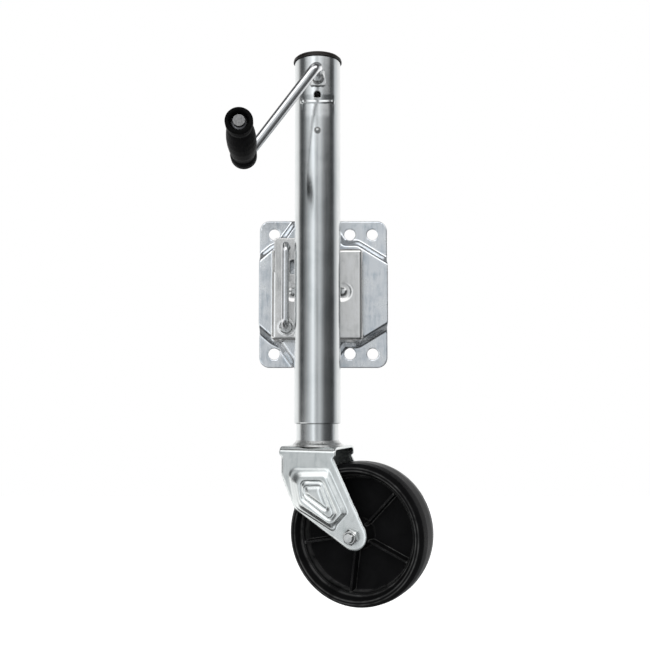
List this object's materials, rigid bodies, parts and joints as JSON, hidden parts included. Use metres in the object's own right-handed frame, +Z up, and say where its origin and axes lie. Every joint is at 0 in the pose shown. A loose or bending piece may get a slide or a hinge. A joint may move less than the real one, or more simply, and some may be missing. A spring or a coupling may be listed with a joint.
{
  "type": "trailer tongue jack",
  "caption": "Swing-up trailer tongue jack: zinc-plated tube with crank handle and bevel-gear screw lift, pin-locked swivel bracket on an embossed bolt-on plate, and a trailing caster wheel.",
  "frame": {"origin": "centre of the four-bolt pattern on the back face of the mounting plate", "axes": "+Z up along the jack tube, +Y out of the plate's back face into the trailer tongue, +X towards the side with two columns of bolt holes"},
  "size_m": [0.2104, 0.2359, 0.5976],
  "materials": {
    "tube_zinc": "bright zinc plate, drawn tube",
    "bracket_zinc": "bright zinc plate on pressed sheet",
    "fork_zinc": "satin zinc plate on pressed sheet",
    "rod_zinc": "polished zinc plate on round bar",
    "weld_zinc": "zinc plate over weld",
    "hardware_zinc": "zinc plate",
    "inner_steel": "machined steel with grease",
    "spring_steel": "oiled spring steel",
    "cap_black": "moulded, semi-gloss",
    "grip_black": "moulded, semi-gloss",
    "wheel_black": "moulded, satin"
  },
  "bodies": {
    "bracket": {"mounting_plate": "bracket_zinc"},
    "jack": {"swivel_bracket": "bracket_zinc", "pivot_hub": "bracket_zinc", "hub_rivets": "hardware_zinc", "bracket_weld_beads": "weld_zinc", "lock_pin_collar": "hardware_zinc", "outer_tube": "tube_zinc", "top_cap": "cap_black", "crank_bushing_front": "hardware_zinc", "crank_bushing_rear": "hardware_zinc", "thrust_plate": "inner_steel", "thrust_race_upper": "inner_steel", "grease_fitting": "hardware_zinc"},
    "lock_pin": {"pull_pin": "rod_zinc", "pin_retaining_washer": "hardware_zinc", "pin_spring": "spring_steel"},
    "crank": {"crank_rod": "rod_zinc", "crank_retaining_clip": "spring_steel", "grip_push_nut": "spring_steel", "bevel_pinion": "inner_steel", "pinion_roll_pin": "spring_steel"},
    "grip": {"crank_grip": "grip_black"},
    "screw": {"lead_screw": "inner_steel", "bevel_gear": "inner_steel", "gear_roll_pin": "spring_steel", "thrust_race_lower": "inner_steel", "thrust_bearing_balls": "inner_steel"},
    "leg": {"drive_nut": "inner_steel"},
    "caster": {"ram_tube": "tube_zinc", "nut_seat_ring": "inner_steel", "nut_snap_ring": "spring_steel", "ram_weld_bead": "weld_zinc", "caster_fork": "fork_zinc", "axle_bolt": "hardware_zinc", "axle_nut": "hardware_zinc", "axle_sleeve": "inner_steel"},
    "caster_wheel": {"wheel": "wheel_black"}
  },
  "joints": [
    {"name": "bracket_swivel", "type": "hinge", "parent": "bracket", "child": "jack", "pos_m": [-0.0064, -0.014, 0], "axis": [0, 1, 0], "range_deg": [-90, 90]},
    {"name": "lock_pin_slide", "type": "slide", "parent": "jack", "child": "lock_pin", "axis": [0, 1, 0], "range_m": [0, 0.0063], "deforming": ["pin_spring"]},
    {"name": "crank_turn", "type": "hinge", "parent": "jack", "child": "crank", "pos_m": [-0.0064, -0.0554, 0.2281], "axis": [0, 1, 0], "range_deg": [0, 41910]},
    {"name": "grip_spin", "type": "hinge", "parent": "crank", "child": "grip", "pos_m": [-0.07932, -0.17823, 0.13098], "axis": [0.0461, -0.9971, 0.0614], "continuous": true},
    {"name": "screw_turn", "type": "hinge", "parent": "jack", "child": "screw", "pos_m": [-0.0064, -0.0554, 0.19], "axis": [0, 0, -1], "range_deg": [0, 22861]},
    {"name": "leg_slide", "type": "slide", "parent": "jack", "child": "leg", "axis": [0, 0, -1], "range_m": [0, 0.25402]},
    {"name": "caster_swivel", "type": "hinge", "parent": "leg", "child": "caster", "pos_m": [-0.0064, -0.0554, -0.16], "axis": [0, 0, 1], "continuous": true},
    {"name": "wheel_spin", "type": "hinge", "parent": "caster", "child": "caster_wheel", "pos_m": [0.04024, -0.07424, -0.2613], "axis": [0.3746, 0.9272, 0], "continuous": true}
  ],
  "couplings": [
    {"joint": "screw_turn", "follows": "crank_turn", "ratio": 0.54545},
    {"joint": "leg_slide", "follows": "crank_turn", "m_per_rad": 0.00034725}
  ]
}
